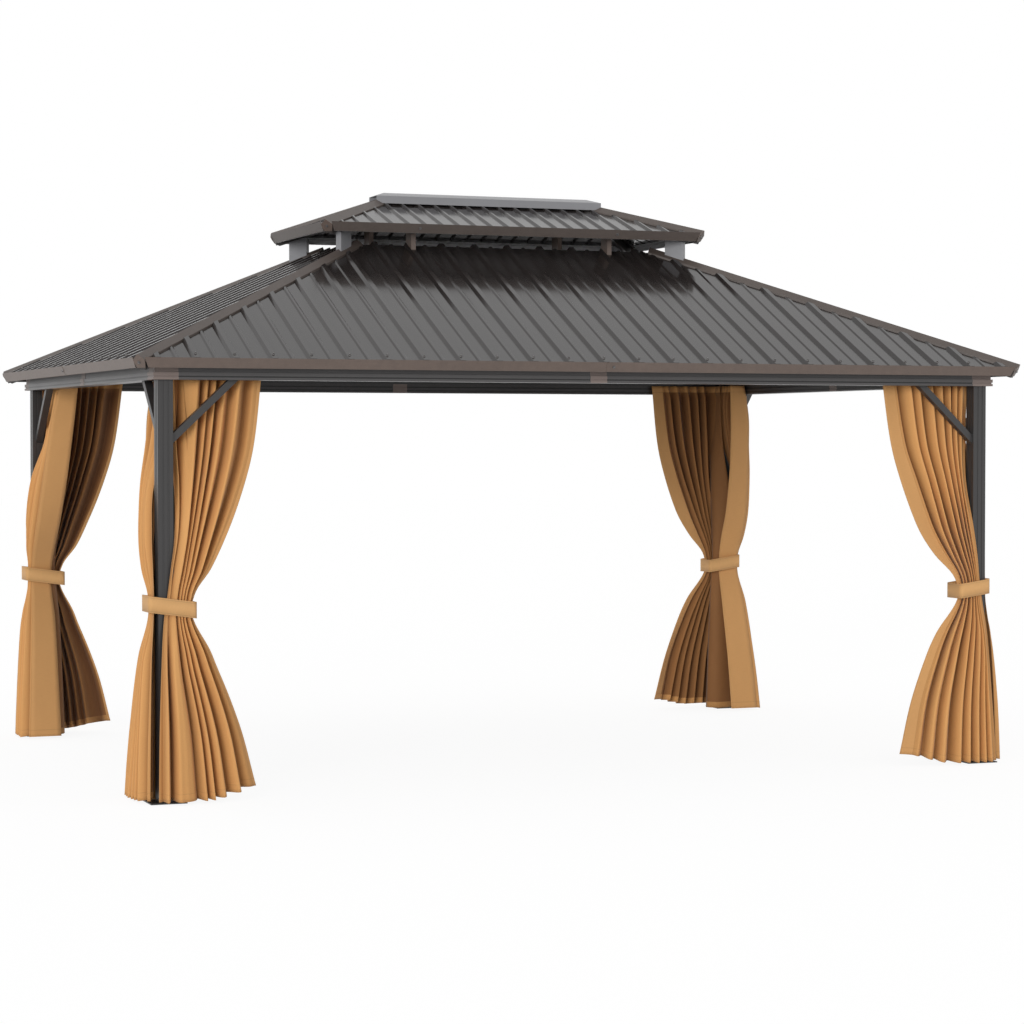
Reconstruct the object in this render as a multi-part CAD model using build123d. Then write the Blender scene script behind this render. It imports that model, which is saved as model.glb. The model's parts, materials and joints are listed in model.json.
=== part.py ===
from build123d import *
from collections import namedtuple
from math import hypot, sqrt
import os

# Metal gazebo: four fluted posts, a ring of headers, a vented double hip roof of ribbed sheets, tied curtains.
# Millimetres, +Z up, long side along X, front towards -Y, origin on the ground under the middle of the roof.

# Header ring
header_length = 4650
header_width = 3280
header_underside = 2050
header_height = 100
header_depth = 105
header_wall = 4
header_lip_height = 12
header_groove_height = 7
header_band_height = 17
header_groove_depth = 5
header_face_setback = 8
ridge_groove_height = 7
ridge_groove_depth = 4
ridge_groove_pitch = 22
ridge_groove_count = 4
corner_arm = 125
splice_length = 92
splice_proud = 1.5

# Posts and feet
post_size = 76
post_inset = 27
post_wall = 3
flute_width = 9
flute_depth = 2.5
flute_spacing = 26
foot_size = 180
foot_thick = 6
foot_hole_radius = 6
foot_hole_spacing = 140

# Knee braces
brace_run = 330
brace_drop = 310
brace_face = 34
brace_depth = 40

# Lower and upper roof planes, measured at the underside of the sheets
eave_overhang = 120
eave_above_header = 79
lower_rise = 694
vent_length = 1746
vent_width = 644
vent_rise = 82
upper_overhang_end = 261
upper_overhang_side = 219
upper_rise = 182
ridge_length = 1232

# Ribbed sheets
sheet_thick = 2
lower_rib_pitch = 194
rib_height = 16
rib_crest = 26
rib_base = 50
small_rib_height = 6
small_rib_crest = 12
small_rib_base = 28
upper_rib_pitch = 96
upper_rib_height = 11
upper_rib_crest = 10
upper_rib_base = 26
sheet_edge_gap = 2
ridge_sheet_gap = 8

# Hip caps, hip rafters and their end plates
cap_lift = 31
cap_fall = 30
cap_half_width = 33
cap_thick = 2.5
hip_body_width = 40
hip_body_depth = 50
hip_shelf_half_width = 58
hip_shelf_thick = 4
end_plate_thick = 3
end_plate_setback = 30
end_plate_waist_drop = 48
end_plate_waist_share = 0.94
end_plate_foot_share = 0.7

# Eave fascia
fascia_top = 24
fascia_drop = 25
fascia_lean = 20
fascia_thick = 2.5
fascia_lip = 12
fascia_flange = 40
fascia_seam = 0.6

# Ridge cap and ridge beam
ridge_cap_thick = 2.5
ridge_cap_half_width = 66
ridge_cap_flange = 24
ridge_beam_width = 36
ridge_beam_depth = 55
mitre_gap = 1

# Rafters, vent curb and vent posts
rafter_width = 36
rafter_depth = 50
rafter_place = 582
curb_width = 40
curb_depth = 45
curb_reach = 30
vent_corner_post_thick = 32
vent_corner_post_depth = 110
vent_corner_post_place = 95
vent_side_post_thick = 26
vent_side_post_depth = 90
vent_side_post_setback = 4

# Curtain rails, curtains and tiebacks
rail_depth = 20
rail_height = 18
rail_wall = 3
rail_slot = 7
rail_drop = 28
rail_end_gap = 60
soft_gap = 0.3
curtain_thick = 74
curtain_reach_long = 515
curtain_reach_short = 430
curtain_split = 3
panel_post_gap = 8
panel_draw_in = 55
curtain_hem_height = 18
skirt_reach_long = 490
skirt_reach_short = 260
skirt_front_long = 165
skirt_front_short = 150
skirt_toe = 30
skirt_back_long = 70
skirt_back_short = 95
skirt_corner_clear = 32
skirt_corner_inset = 16
tie_height = 950
tie_band_height = 80
tie_band_thick = 4
tie_band_cut = 18
tie_outer = 60
tie_inner = 145

# Modelling allowances
overrun = 40
joint_gap = 0.5

# Places that follow from the sizes above
header_top = header_underside + header_height
post_half = post_size / 2
post_x = header_length / 2 - post_inset - post_half
post_y = header_width / 2 - post_inset - post_half
header_inner = header_depth - post_inset - post_half
eave_z = header_underside + eave_above_header
vent_z = eave_z + lower_rise
upper_eave_z = vent_z + vent_rise
ridge_z = upper_eave_z + upper_rise
ridge_cap_lift = cap_lift + ridge_cap_flange
sky_z = ridge_z + ridge_cap_lift + overrun
rail_bottom = header_top - rail_drop - rail_height
curtain_top = rail_bottom - soft_gap
tie_bottom = tie_height - tie_band_height / 2
tie_top = tie_height + tie_band_height / 2
tie_inner_cut = tie_band_cut - tie_band_thick * (2 - sqrt(2))
tie_slack = tie_inner_cut / 2 + soft_gap
fascia_slant = fascia_lean / (fascia_top + fascia_drop)
fascia_edge = fascia_slant * fascia_top + fascia_thick
shelf_setback = fascia_edge + hip_shelf_thick + joint_gap

Rib = namedtuple("Rib", "base crest height")
tall_rib = Rib(rib_base, rib_crest, rib_height)
small_rib = Rib(small_rib_base, small_rib_crest, small_rib_height)
narrow_rib = Rib(upper_rib_base, upper_rib_crest, upper_rib_height)

# A tier's ribs are given as (first place, rib), repeated at the pitch to both sides
Tier = namedtuple("Tier", "half_x half_y top_x top_y eave_z top_z pitch ribs")
lower = Tier(header_length / 2 + eave_overhang, header_width / 2 + eave_overhang,
             vent_length / 2, vent_width / 2, eave_z, vent_z, lower_rib_pitch,
             [(0, tall_rib), (lower_rib_pitch / 2, small_rib)])
upper = Tier(vent_length / 2 + upper_overhang_end, vent_width / 2 + upper_overhang_side,
             ridge_length / 2, 0, upper_eave_z, ridge_z, upper_rib_pitch, [(upper_rib_pitch / 2, narrow_rib)])

TURNS = {"front": 0, "right": 90, "back": 180, "left": 270}
CORNERS = {"front_left": (-1, -1), "front_right": (1, -1), "back_right": (1, 1), "back_left": (-1, 1)}


def save(name, *shapes):
    solids = [solid for shape in shapes for solid in shape.solids()]
    export_step(Compound(solids), f"parts/{name}.step")


def turned(shape, side):
    return Rot(0, 0, TURNS[side]) * shape


def at_corner(shape, corner):
    """Mirrors a shape drawn at the back right corner to any corner."""
    sign_x, sign_y = CORNERS[corner]
    if sign_x < 0:
        shape = mirror(shape, about=Plane.YZ)
    if sign_y < 0:
        shape = mirror(shape, about=Plane.XZ)
    return shape


def polygon(points):
    return make_face(Polyline(*points, close=True))


def prism(points, low, high):
    """Plan outline raised from one height to another."""
    return extrude(Pos(0, 0, low) * polygon(points), high - low)


def block(low, high):
    """Box between two opposite corners."""
    middle = [(a + b) / 2 for a, b in zip(low, high)]
    return Pos(*middle) * Box(*(b - a for a, b in zip(low, high)))


def along_x(points, start, end):
    """Section given as (y, z) points, drawn out from one X to another."""
    section = Plane.YZ.offset(start) * polygon(points)
    return extrude(section, end - start)


def along_y(points, start, end):
    """Section given as (x, z) points, drawn out from one Y to another."""
    section = Plane.XZ.offset(-start) * polygon(points)
    return extrude(section, start - end)


# Roof planes

def gable(half, top, eave, peak, reach):
    """Outline of everything under one pair of opposite slopes, carried past the eave."""
    fall = (peak - eave) / (half - top)
    low = eave - fall * reach
    crown = [(-top, peak), (top, peak)] if top else [(0, peak)]
    return [(-half - reach, 0), (-half - reach, low)] + crown + [(half + reach, low), (half + reach, 0)]


def under_roof(tier, lift):
    """Solid under all four planes of a roof, raised by a lift."""
    reach = eave_overhang
    eave, peak = tier.eave_z + lift, tier.top_z + lift
    long_sides = along_x(gable(tier.half_y, tier.top_y, eave, peak, reach),
                         -tier.half_x - reach, tier.half_x + reach)
    short_sides = along_y(gable(tier.half_x, tier.top_x, eave, peak, reach),
                          -tier.half_y - reach, tier.half_y + reach)
    return long_sides & short_sides


def side_sizes(tier, side):
    """Half length at eave and top, then distance out to eave and top, for one side."""
    if side in ("front", "back"):
        return tier.half_x, tier.top_x, tier.half_y, tier.top_y
    return tier.half_y, tier.top_y, tier.half_x, tier.top_x


def side_wedge(tier, side, gap, reach, top_gap):
    """Plan share of one side between its two hips, as if it faced the front."""
    eave_half, top_half, out, inn = side_sizes(tier, side)
    splay = (eave_half - top_half) / (out - inn)
    inset = gap * hypot(1, splay)
    wide = eave_half + reach * splay - inset
    narrow = top_half + top_gap * splay - inset
    points = [(-wide, -out - reach), (wide, -out - reach)]
    if narrow > 0:
        points += [(narrow, -inn - top_gap), (-narrow, -inn - top_gap)]
    else:
        points += [(0, (top_half - inset) / splay - inn)]
    return prism(points, 0, sky_z)


def hip_direction(tier):
    """Plan direction of the back right hip, pointing down to the eave corner."""
    return Vector(tier.half_x - tier.top_x, tier.half_y - tier.top_y).normalized()


def hip_strip(tier, half_width, past_eave, past_top):
    """Upright strip that follows the back right hip in plan."""
    down = hip_direction(tier)
    across = Vector(-down.Y, down.X) * half_width
    foot = Vector(tier.half_x, tier.half_y) + down * past_eave
    head = Vector(tier.top_x, tier.top_y) - down * past_top
    corners = [foot + across, head + across, head - across, foot - across]
    return prism([(point.X, point.Y) for point in corners], 0, sky_z)


# Ribbed sheets

def rib_line(tier, half_length):
    """Lower line of the rolled sheet from left to right, flat between its ribs."""
    count = int(half_length // tier.pitch)
    ribs = [(first + n * tier.pitch, rib) for first, rib in tier.ribs for n in range(-count - 1, count + 1)]
    line = [(-half_length, 0)]
    for place, rib in sorted(ribs):
        if abs(place) + rib.base < half_length:
            line += [(place - rib.base / 2, 0), (place - rib.crest / 2, rib.height)]
            line += [(place + rib.crest / 2, rib.height), (place + rib.base / 2, 0)]
    return line + [(half_length, 0)]


def crest_lift(tier):
    """Upright height of the tallest ribs of a long side over the underside of its sheet."""
    slope = (tier.top_z - tier.eave_z) / (tier.half_y - tier.top_y)
    return (tier.ribs[0][1].height + sheet_thick) * hypot(1, slope)


def roof_sheet(tier, side):
    """One ribbed side, cut along its hips, drawn facing the front and then turned."""
    eave_half, _, out, inn = side_sizes(tier, side)
    lower_line = rib_line(tier, eave_half)
    upper_line = [(x, z + sheet_thick) for x, z in reversed(lower_line)]
    run, rise = out - inn, tier.top_z - tier.eave_z
    length = hypot(run, rise)
    slope = Plane(origin=(0, -out, tier.eave_z), x_dir=(-1, 0, 0), z_dir=(0, run, rise))
    sheet = extrude(slope.offset(-overrun) * polygon(lower_line + upper_line), length + 2 * overrun)
    top_gap = 0 if inn else ridge_sheet_gap
    edge = cap_half_width + sheet_edge_gap
    return turned(sheet & side_wedge(tier, side, edge, -fascia_edge - joint_gap, top_gap), side)


# Hips

def hip_pitch(tier):
    """Fall of a hip for each unit of its run in plan."""
    return (tier.top_z - tier.eave_z) / hypot(tier.half_x - tier.top_x, tier.half_y - tier.top_y)


def cap_gable(tier, inset):
    """Steep gable over the back right hip, carried past both ends; an inset gives its inner side."""
    down, fall = hip_direction(tier), hip_pitch(tier)
    half, apex = cap_half_width - inset, cap_lift - inset * hypot(1, cap_fall / cap_half_width)
    shoulder = apex - cap_fall * half / cap_half_width
    outline = [(0, apex), (half, shoulder), (half, -hip_body_depth), (-half, -hip_body_depth), (-half, shoulder)]
    section = Plane(origin=(0, 0, 0), x_dir=(-down.Y, down.X, 0), z_dir=(down.X, down.Y, 0)) * polygon(outline)
    bar = Solid.extrude(section.face(), Vector(down.X, down.Y, -fall) * header_length)
    head = Vector(tier.top_x, tier.top_y) - down * overrun
    return Pos(head.X, head.Y, tier.top_z + fall * overrun) * bar


def hip_cap(tier):
    """Folded cap over the back right hip: two steep faces and two upright sides that stand on the shelves."""
    skin = cap_gable(tier, 0) & hip_strip(tier, hip_shelf_half_width, overrun, 0)
    cap = skin - cap_gable(tier, cap_thick) - under_roof(tier, 0) - past_plate(tier)
    return cap & behind_ridge(mitre_gap)


def behind_ridge(gap):
    """Half space on the back of the ridge line, so that hips which meet at a ridge are mitred."""
    reach = header_length
    return block((-reach, gap, 0), (reach, reach, sky_z))


def hip_rafter(tier, head_cut):
    """Hip rafter with a body under the cap and side shelves that carry the sheets."""
    body = under_roof(tier, 0) & hip_strip(tier, hip_body_width / 2, 0, 0)
    body -= under_roof(tier, -hip_body_depth)
    shelf = under_roof(tier, 0) & hip_strip(tier, hip_shelf_half_width, 0, 0)
    shelf -= under_roof(tier, -hip_shelf_thick)
    edge_x, edge_y = tier.half_x - shelf_setback, tier.half_y - shelf_setback
    shelf &= block((-edge_x, -edge_y, 0), (edge_x, edge_y, sky_z))
    return (body + shelf) - head_cut - past_plate(tier)


def plate_face(tier):
    """Inner face of the end plate at the back right: square to the hip, leaning in with the fascias."""
    down = hip_direction(tier)
    start = Vector(tier.half_x, tier.half_y) - down * end_plate_setback
    lean = fascia_slant / min(down.X, down.Y)
    return Plane(origin=(start.X, start.Y, tier.eave_z + fascia_top), x_dir=(-down.Y, down.X, 0),
                 z_dir=(down.X, down.Y, -lean))


def past_plate(tier):
    """Everything outside the inner face of the end plate."""
    return extrude(plate_face(tier) * Rectangle(header_width, header_width), header_width)


def end_plate(tier):
    """Closing plate on the lower end of a hip cap."""
    down = hip_direction(tier)
    lean = fascia_slant / min(down.X, down.Y)
    apex_out = (cap_lift + hip_pitch(tier) * end_plate_setback - fascia_top) / (1 + hip_pitch(tier) * lean)
    apex = apex_out * hypot(1, lean)
    foot = -(fascia_top + fascia_drop) * hypot(1, lean)
    half = [(cap_half_width, apex - cap_fall), (cap_half_width * end_plate_waist_share, apex - end_plate_waist_drop),
            (cap_half_width * end_plate_foot_share, foot)]
    outline = [(0, apex)] + half + [(-across, up) for across, up in reversed(half)]
    return extrude(plate_face(tier) * polygon(outline), end_plate_thick)


# Eave fascia

def fascia(tier, side):
    """Leaning eave trim in two halves, with a flange under the sheet and a bottom lip."""
    eave_half, _, out, inn = side_sizes(tier, side)
    slope = (tier.top_z - tier.eave_z) / (out - inn)
    under = fascia_thick * hypot(1, slope)
    inner_foot = fascia_lean + fascia_thick
    corner_z = (slope * (inner_foot - fascia_slant * fascia_drop) - under) / (1 + slope * fascia_slant)
    corner = inner_foot - fascia_slant * (corner_z + fascia_drop)
    lip_end = fascia_lean + fascia_lip
    lip_top = fascia_thick - fascia_drop
    face = [(0, fascia_top), (fascia_lean, -fascia_drop), (lip_end, -fascia_drop), (lip_end, lip_top),
            (inner_foot - fascia_slant * fascia_thick, lip_top), (corner, corner_z),
            (fascia_edge, slope * fascia_edge), (fascia_thick, fascia_top)]
    flange = [(fascia_edge, slope * fascia_edge), (corner, corner_z), (fascia_flange, slope * fascia_flange - under),
              (fascia_flange, slope * fascia_flange)]
    pieces = []
    for outline, gap in ((face, cap_half_width + joint_gap), (flange, hip_shelf_half_width + joint_gap)):
        section = [(inward - out, tier.eave_z + z) for inward, z in outline]
        pieces.append(along_x(section, -eave_half, eave_half) & side_wedge(tier, side, gap, overrun, 0))
    seam = block((-fascia_seam / 2, -out - overrun, 0), (fascia_seam / 2, 0, sky_z))
    trim = turned(pieces[0] + pieces[1] - seam, side)
    for corner in CORNERS:
        trim -= at_corner(past_plate(tier), corner)
    return trim


# Header ring

def header_section(proud):
    """Outline of a header as (inward, up) from its lower outer edge, grown outward by an amount."""
    groove = header_groove_depth
    lip_top = header_lip_height
    band_foot = lip_top + header_groove_height
    band_top = band_foot + header_band_height
    outline = [(-proud, 0), (-proud, lip_top), (groove - proud, lip_top), (groove - proud, band_foot),
               (-proud, band_foot), (-proud, band_top), (header_face_setback - proud, band_top),
               (header_face_setback - proud, header_height), (header_depth, header_height)]
    for n in reversed(range(ridge_groove_count)):
        foot = ridge_groove_pitch / 2 + n * ridge_groove_pitch
        outline += [(header_depth, foot + ridge_groove_height),
                    (header_depth - ridge_groove_depth, foot + ridge_groove_height),
                    (header_depth - ridge_groove_depth, foot), (header_depth, foot)]
    return outline + [(header_depth, 0)]


def header_run(out, start, end, proud, hollow):
    """Length of header on the front side whose outer face is a distance out from the middle."""
    section = [(inward - out, header_underside + up) for inward, up in header_section(proud)]
    run = along_x(section, start, end)
    if hollow:
        near = header_face_setback + header_wall - out
        far = header_depth - ridge_groove_depth - header_wall - out
        run -= block((start - overrun, near, header_underside + header_wall),
                     (end + overrun, far, header_top - header_wall))
    return run


def header(side):
    """Two hollow lengths, from the corner blocks to the splice in the middle."""
    along, out = header_sizes(side)
    start, end = splice_length / 2, along - corner_arm
    right = header_run(out, start, end, 0, True)
    left = header_run(out, -end, -start, 0, True)
    return turned(right, side), turned(left, side)


def header_sizes(side):
    half_length, half_width = header_length / 2, header_width / 2
    return (half_length, half_width) if side in ("front", "back") else (half_width, half_length)


def splice(side):
    _, out = header_sizes(side)
    return turned(header_run(out, -splice_length / 2, splice_length / 2, splice_proud, False), side)


def corner_block():
    """Mitred corner casting at the back right, with the header's own profile on both arms."""
    half_length, half_width = header_length / 2, header_width / 2
    reach = corner_arm + overrun
    mitre = prism([(half_length, half_width), (half_length - reach, half_width),
                   (half_length - reach, half_width - reach)], 0, sky_z)
    run = header_run(half_width, -half_length, corner_arm - half_length, 0, False)
    back_arm = turned(run, "back") & mitre
    run = header_run(half_length, half_width - corner_arm, half_width, 0, False)
    side_arm = turned(run, "right") - mitre
    return back_arm + side_arm


# Posts, feet and braces

def post():
    """Fluted hollow post at the back right corner, from the foot plate to the header ring."""
    half = post_half
    bar = Rectangle(post_size, post_size)
    flutes = Sketch()
    for turn in TURNS.values():
        for place in (-flute_spacing / 2, flute_spacing / 2):
            flutes += Rot(0, 0, turn) * Pos(place, half) * Rectangle(flute_width, 2 * flute_depth)
    bore = post_size - 2 * (flute_depth + post_wall)
    profile = bar - flutes - Rectangle(bore, bore)
    return Pos(post_x, post_y, foot_thick) * extrude(profile, header_underside - foot_thick)


def foot():
    """Base plate with four anchor holes."""
    plate = Rectangle(foot_size, foot_size)
    holes = GridLocations(foot_hole_spacing, foot_hole_spacing, 2, 2) * Circle(foot_hole_radius)
    return Pos(post_x, post_y, 0) * extrude(plate - holes, foot_thick)


def brace_outline():
    """Sloping bar between post face and header underside, as (away from post, down) points."""
    length = hypot(brace_run, brace_drop)
    on_post = brace_face * length / brace_run
    on_header = brace_face * length / brace_drop
    return [(0, brace_drop), (0, brace_drop - on_post), (brace_run - on_header, 0), (brace_run, 0)]


def braces():
    """The two knee braces of the back right post."""
    half = brace_depth / 2
    long_points = [(post_x - post_half - away, header_underside - down) for away, down in brace_outline()]
    short_points = [(post_y - post_half - away, header_underside - down) for away, down in brace_outline()]
    return along_y(long_points, post_y - half, post_y + half), along_x(short_points, post_x - half, post_x + half)


# Roof frame under the sheets

def ring_block(low, high):
    """The header ring's outer envelope between two heights, used to notch rafters over it."""
    outer = block((-header_length / 2, -header_width / 2, low), (header_length / 2, header_width / 2, high))
    inner = block((header_depth - header_length / 2, header_depth - header_width / 2, low - overrun),
                  (header_length / 2 - header_depth, header_width / 2 - header_depth, high + overrun))
    return outer - inner


def curb_envelope(gap):
    half_x, half_y = lower.top_x + curb_reach + gap, lower.top_y + curb_reach + gap
    return block((-half_x, -half_y, 0), (half_x, half_y, sky_z))


def vent_curb():
    """Four bars under the upper edges of the lower sheets."""
    outer_x, outer_y = lower.top_x + curb_reach, lower.top_y + curb_reach
    inner_x, inner_y = outer_x - curb_width, outer_y - curb_width
    low = lower.top_z - curb_depth
    bars = [block((-outer_x, inner_y, low), (outer_x, outer_y, sky_z)),
            block((-outer_x, -outer_y, low), (outer_x, -inner_y, sky_z)),
            block((inner_x, joint_gap - inner_y, low), (outer_x, inner_y - joint_gap, sky_z)),
            block((-outer_x, joint_gap - inner_y, low), (-inner_x, inner_y - joint_gap, sky_z))]
    return [bar & under_roof(lower, 0) for bar in bars]


def common_rafter(side, place):
    """Straight rafter from the curb down to the header, notched over the header."""
    _, out = header_sizes(side)
    bar = block((place - rafter_width / 2, -out, 0), (place + rafter_width / 2, 0, sky_z))
    bar = turned(bar, side) & (under_roof(lower, 0) - under_roof(lower, -rafter_depth))
    return bar - curb_envelope(joint_gap) - ring_block(0, header_top)


def ridge_beam():
    half = ridge_beam_width / 2
    bar = block((-upper.top_x, -half, ridge_z - ridge_beam_depth), (upper.top_x, half, sky_z))
    return bar & under_roof(upper, 0)


def ridge_cap():
    """Folded cap on the ridge, notched at both ends along the hips, with lips that stand on the rib crests."""
    splay = (upper.half_x - upper.top_x) / upper.half_y
    half, tip = ridge_cap_half_width, upper.top_x + ridge_cap_half_width * splay
    notched = [(-upper.top_x, 0), (-tip, -half), (tip, -half), (upper.top_x, 0), (tip, half), (-tip, half)]
    skin = under_roof(upper, ridge_cap_lift) & prism(notched, 0, sky_z)
    inner = block((-upper.half_x, ridge_cap_thick - half, 0), (upper.half_x, half - ridge_cap_thick, sky_z))
    skin -= under_roof(upper, ridge_cap_lift - ridge_cap_thick) & inner
    skin -= under_roof(upper, crest_lift(upper))
    for corner in CORNERS:
        skin -= at_corner(cap_gable(upper, -joint_gap), corner)
    return skin


# Vent posts between the two roofs

def vent_corner_post():
    """Upright channel on the back right hip, from the lower cap to the upper hip rafter."""
    down = hip_direction(lower)
    start = Vector(lower.top_x, lower.top_y) + down * vent_corner_post_place
    across = Vector(-down.Y, down.X) * (vent_corner_post_thick / 2)
    end = start + down * vent_corner_post_depth
    corners = [start + across, start - across, end - across, end + across]
    bar = prism([(point.X, point.Y) for point in corners], 0, sky_z)
    return (bar & under_roof(upper, -hip_body_depth)) - under_roof(lower, 0) - cap_gable(lower, 0)


def vent_side_post(place):
    """Upright bar on a rib crest of the back sheet, up to the underside of the upper sheet."""
    start = lower.top_y + vent_side_post_setback
    bar = block((place - vent_side_post_thick / 2, start, 0),
                (place + vent_side_post_thick / 2, start + vent_side_post_depth, sky_z))
    return (bar & under_roof(upper, 0)) - under_roof(lower, crest_lift(lower))


# Curtain rails, curtains and tiebacks

def rail(side):
    """Slotted rail on the inner face of a header."""
    along, out = header_sizes(side)
    end = along - header_depth - rail_end_gap
    near, far = header_depth - out, header_depth + rail_depth - out
    top = rail_bottom + rail_height
    slot = (near + far - rail_slot) / 2
    outline = [(near, rail_bottom), (slot, rail_bottom), (slot, rail_bottom + rail_wall),
               (near + rail_wall, rail_bottom + rail_wall), (near + rail_wall, top - rail_wall),
               (far - rail_wall, top - rail_wall), (far - rail_wall, rail_bottom + rail_wall),
               (slot + rail_slot, rail_bottom + rail_wall), (slot + rail_slot, rail_bottom),
               (far, rail_bottom), (far, top), (near, top)]
    return turned(along_x(outline, -end, end), side)


def faceted(levels):
    """Closed solid of flat faces between plan outlines of equally many points at falling heights."""
    rings = [[(x, y, z) for x, y in outline] for z, outline in levels]
    faces = [polygon(rings[0]), polygon(rings[-1])]
    for high, low in zip(rings, rings[1:]):
        for n in range(len(high)):
            faces.append(polygon([high[n - 1], high[n], low[n - 1]]))
            faces.append(polygon([high[n], low[n], low[n - 1]]))
    return Solid(Shell([flat.face() for flat in faces]))


def panel(reach, skirt_reach, skirt_front, skirt_back):
    """One curtain panel beside a post at the origin, hung along +X, gathered at the tie and flared below."""
    near, far = header_inner + soft_gap, header_inner + soft_gap + curtain_thick
    side = post_half + panel_post_gap
    tie_near, tie_far = tie_band_thick + tie_slack - tie_outer, tie_inner - tie_band_thick - tie_slack
    hung = [(near + curtain_split, near), (reach, near), (reach, far), (far + curtain_split, far)]
    drawn_reach = reach - panel_draw_in
    drawn = [(near + curtain_split, near), (drawn_reach, near), (drawn_reach, far), (far + curtain_split, far)]
    tied = [(side, tie_near), (tie_far, tie_near), (tie_far, tie_far - curtain_split), (side + curtain_split, side)]
    skirt = [(0, -skirt_front), (skirt_reach, -skirt_toe), (skirt_reach, skirt_back),
             (post_half + skirt_corner_clear, post_half - skirt_corner_inset)]
    brace_foot = header_underside - brace_drop
    return faceted([(curtain_top, hung), (brace_foot, drawn), (tie_top, tied), (tie_bottom, tied),
                    (curtain_hem_height, skirt)])


def curtain():
    """Both panels of the back right corner, which meet on the diagonal behind the post."""
    long_panel = panel(curtain_reach_long, skirt_reach_long, skirt_front_long, skirt_back_long)
    short_panel = panel(curtain_reach_short, skirt_reach_short, skirt_front_short, skirt_back_short)
    diagonal = Plane(origin=(0, 0, 0), z_dir=(1, -1, 0))
    to_corner = Pos(post_x, post_y, 0) * Rot(0, 0, 180)
    return to_corner * long_panel, to_corner * mirror(short_panel, about=diagonal)


def tieback():
    """Band around the post and both panels of the back right corner."""
    middle = (tie_inner - tie_outer) / 2
    size = tie_inner + tie_outer
    outer = Rectangle(size, size)
    inner = Rectangle(size - 2 * tie_band_thick, size - 2 * tie_band_thick)
    band = chamfer(outer.vertices(), tie_band_cut) - chamfer(inner.vertices(), tie_inner_cut)
    return Pos(post_x - middle, post_y - middle, tie_bottom) * extrude(band, tie_band_height)


os.makedirs("parts", exist_ok=True)

# Frame
for corner in CORNERS:
    save(f"post_{corner}", at_corner(post(), corner))
    save(f"knee_braces_{corner}", *(at_corner(bar, corner) for bar in braces()))
    save(f"curtain_{corner}", *(at_corner(part, corner) for part in curtain()))
save("post_feet", *(at_corner(foot(), corner) for corner in CORNERS))
save("header_corners", *(at_corner(corner_block(), corner) for corner in CORNERS))
save("header_splices", *(splice(side) for side in TURNS))
save("curtain_rails", *(rail(side) for side in TURNS))
save("curtain_tiebacks", *(at_corner(tieback(), corner) for corner in CORNERS))

# Sides of both roofs
for side in TURNS:
    save(f"header_{side}", *header(side))
    save(f"lower_sheet_{side}", roof_sheet(lower, side))
    save(f"upper_sheet_{side}", roof_sheet(upper, side))
    save(f"lower_fascia_{side}", fascia(lower, side))
save("upper_fascias", *(fascia(upper, side) for side in TURNS))

# Hips
lower_hip = hip_rafter(lower, curb_envelope(joint_gap)) - ring_block(0, header_top)
ridge_zone = ridge_beam_width / 2 + joint_gap
upper_hip = hip_rafter(upper, Part()) & behind_ridge(ridge_zone)
for name, shape in (("lower_hip_caps", hip_cap(lower)), ("upper_hip_caps", hip_cap(upper)),
                    ("lower_hip_rafters", lower_hip), ("upper_hip_rafters", upper_hip),
                    ("vent_corner_posts", vent_corner_post())):
    save(name, *(at_corner(shape, corner) for corner in CORNERS))
end_plates = (end_plate(lower), end_plate(upper))
save("hip_end_plates", *(at_corner(plate, corner) for plate in end_plates for corner in CORNERS))

# Ridge, rafters and vent
save("ridge_cap", ridge_cap())
save("ridge_beam", ridge_beam())
save("vent_curb", *vent_curb())
long_places = (-rafter_place, rafter_place)
long_rafters = [common_rafter(side, x) for side in ("front", "back") for x in long_places]
save("common_rafters", *long_rafters, *(common_rafter(side, 0) for side in ("left", "right")))
back_posts = [vent_side_post(x) for x in long_places]
save("vent_side_posts", *back_posts, *(mirror(bar, about=Plane.XZ) for bar in back_posts))
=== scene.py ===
import bmesh
import bpy
import json
import math
from collections import namedtuple
from bpy.props import FloatProperty, FloatVectorProperty, IntProperty, PointerProperty
from mathutils import Euler, Matrix, Vector, noise


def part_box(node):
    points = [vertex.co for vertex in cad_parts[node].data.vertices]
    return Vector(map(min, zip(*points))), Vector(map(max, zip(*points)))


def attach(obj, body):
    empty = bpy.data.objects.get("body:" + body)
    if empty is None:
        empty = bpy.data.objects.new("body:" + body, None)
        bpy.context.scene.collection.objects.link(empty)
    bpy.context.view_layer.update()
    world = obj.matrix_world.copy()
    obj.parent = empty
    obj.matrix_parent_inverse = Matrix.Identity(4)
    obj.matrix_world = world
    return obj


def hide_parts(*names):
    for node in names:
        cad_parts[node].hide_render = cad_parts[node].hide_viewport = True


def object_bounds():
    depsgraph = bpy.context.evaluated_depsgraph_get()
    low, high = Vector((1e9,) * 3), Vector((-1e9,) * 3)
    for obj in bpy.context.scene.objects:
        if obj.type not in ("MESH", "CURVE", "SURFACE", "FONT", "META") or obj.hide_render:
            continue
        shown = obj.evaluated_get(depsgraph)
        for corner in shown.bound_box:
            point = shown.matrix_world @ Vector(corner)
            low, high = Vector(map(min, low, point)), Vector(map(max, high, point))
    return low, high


# Dresses the metal gazebo: painted metal, roof screws, pleated curtains with tie bands, and a plain studio.

bl_info = {
    "name": "Metal gazebo dressing",
    "version": (1, 0, 0),
    "blender": (4, 5, 0),
    "location": "View3D > Sidebar > Gazebo",
    "description": "Paint, screws, curtains and a studio for the packed metal gazebo",
    "category": "Object",
}

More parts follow.
